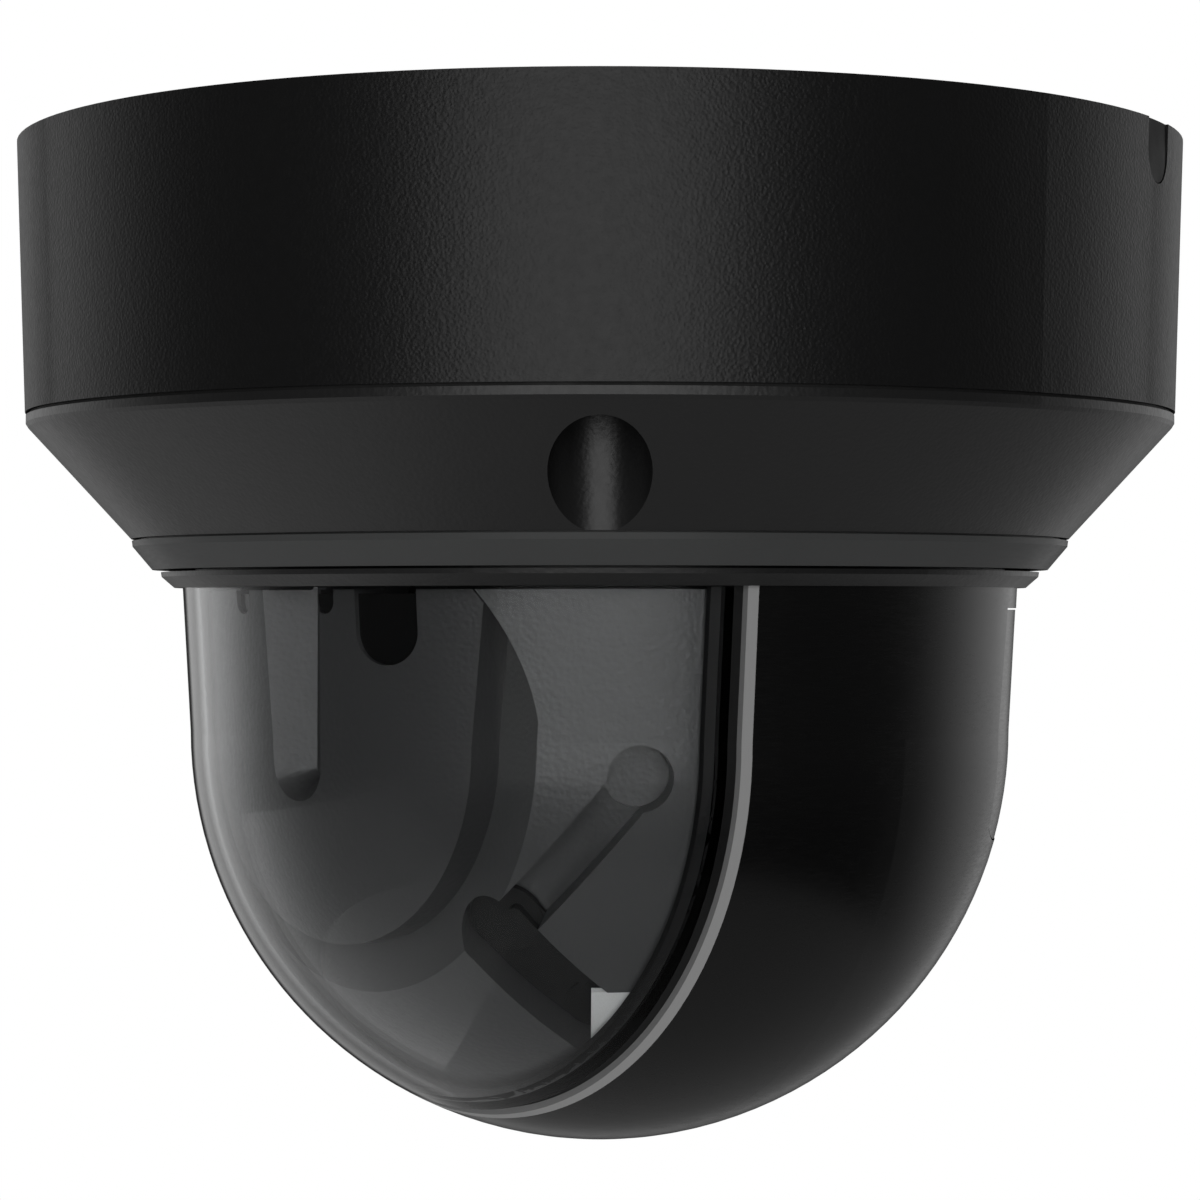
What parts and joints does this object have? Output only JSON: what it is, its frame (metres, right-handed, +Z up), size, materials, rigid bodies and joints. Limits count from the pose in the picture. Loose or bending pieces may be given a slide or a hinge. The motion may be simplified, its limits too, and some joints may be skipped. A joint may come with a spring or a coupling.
{
  "type": "dome cctv camera",
  "caption": "Ceiling pan and tilt dome camera: round grained base, conical screw-on cover, rotating turret with a half-clear dome, and a tilting camera body inside it",
  "frame": {"origin": "where the pan axis meets the ceiling face, at the mouth of the cable hole", "axes": "+Z points up into the ceiling, along the pan axis; the middle of the clear window faces -Y at rest; +X is the tilt axis"},
  "size_m": [0.15, 0.15, 0.1279],
  "materials": {
    "plate_steel": "brushed",
    "base_plastic": "fine leather grain",
    "flange_plastic": "satin",
    "ring_plastic": "gloss",
    "shell_plastic": "gloss",
    "bezel_plastic": "gloss",
    "window_clear": "clear",
    "rubber_black": "matt",
    "window_black": "gloss",
    "module_plastic": "fine grain",
    "shield_plastic": "satin",
    "insert_white": "satin",
    "board_green": "satin",
    "chip_black": "satin",
    "connector_cream": "satin",
    "screw_steel": "satin",
    "motor_steel": "satin",
    "gear_acetal": "satin",
    "frame_plastic": "satin",
    "cap_aluminium": "satin",
    "brass": "satin",
    "lens_glass": "coated",
    "led_resin": "gloss",
    "card_blue": "satin",
    "button_red": "satin"
  },
  "bodies": {
    "base": {"mounting_plate": "plate_steel", "base_housing": "base_plastic", "notch_cover": "rubber_black", "cable_grommet": "rubber_black", "plate_screws": "screw_steel", "main_board": "board_green", "board_screws": "screw_steel", "board_chips": "chip_black", "wire_header": "connector_cream", "slip_ring_stator": "frame_plastic", "cover_gasket": "rubber_black", "lower_cover": "base_plastic", "cover_screws": "screw_steel", "pan_bearing": "gear_acetal", "trim_ring": "ring_plastic", "pan_motor": "motor_steel", "motor_plate": "motor_steel", "motor_screws": "screw_steel"},
    "pan_drive": {"pan_pinion": "gear_acetal"},
    "turret": {"turret_flange": "flange_plastic", "pan_gear": "gear_acetal", "turret_cap": "cap_aluminium", "cap_screws": "screw_steel", "slip_ring_rotor": "brass", "yoke_arm_plain": "frame_plastic", "yoke_arm_geared": "frame_plastic", "yoke_screws": "screw_steel", "tilt_gear": "gear_acetal", "tilt_bushes": "brass", "dome_shell": "shell_plastic", "window_bezel": "bezel_plastic", "dome_window": "window_clear", "rear_cover": "shell_plastic", "rear_cover_screws": "screw_steel"},
    "camera_module": {"module_front_shell": "module_plastic", "module_rear_shell": "module_plastic", "front_shield": "shield_plastic", "shield_windows": "window_black", "dent_insert": "rubber_black", "label_plate": "insert_white", "lens_barrel": "frame_plastic", "lens_ring": "frame_plastic", "lens_glass": "lens_glass", "sensor_board": "board_green", "image_sensor": "chip_black", "heat_sink": "cap_aluminium", "ir_leds": "led_resin", "memory_card": "card_blue", "reset_button": "button_red", "tilt_motor": "motor_steel", "module_screws": "screw_steel"},
    "tilt_drive": {"tilt_pinion": "gear_acetal"}
  },
  "joints": [
    {"name": "pan", "type": "hinge", "parent": "base", "child": "turret", "pos_m": [0, 0, -0.04], "axis": [0, 0, 1], "range_deg": [-175, 175]},
    {"name": "pan_pinion_spin", "type": "hinge", "parent": "base", "child": "pan_drive", "pos_m": [-0.04468, 0.0424, -0.034], "axis": [0, 0, 1], "range_deg": [-1750, 1750]},
    {"name": "tilt", "type": "hinge", "parent": "turret", "child": "camera_module", "pos_m": [0, 0, -0.0749], "axis": [-1, 0, 0], "range_deg": [0, 90]},
    {"name": "tilt_pinion_spin", "type": "hinge", "parent": "camera_module", "child": "tilt_drive", "pos_m": [0, 0.0126, -0.0749], "axis": [-1, 0, 0], "range_deg": [0, 225]}
  ],
  "couplings": [
    {"joint": "pan_pinion_spin", "follows": "pan", "ratio": -10},
    {"joint": "tilt_pinion_spin", "follows": "tilt", "ratio": 2.5}
  ]
}
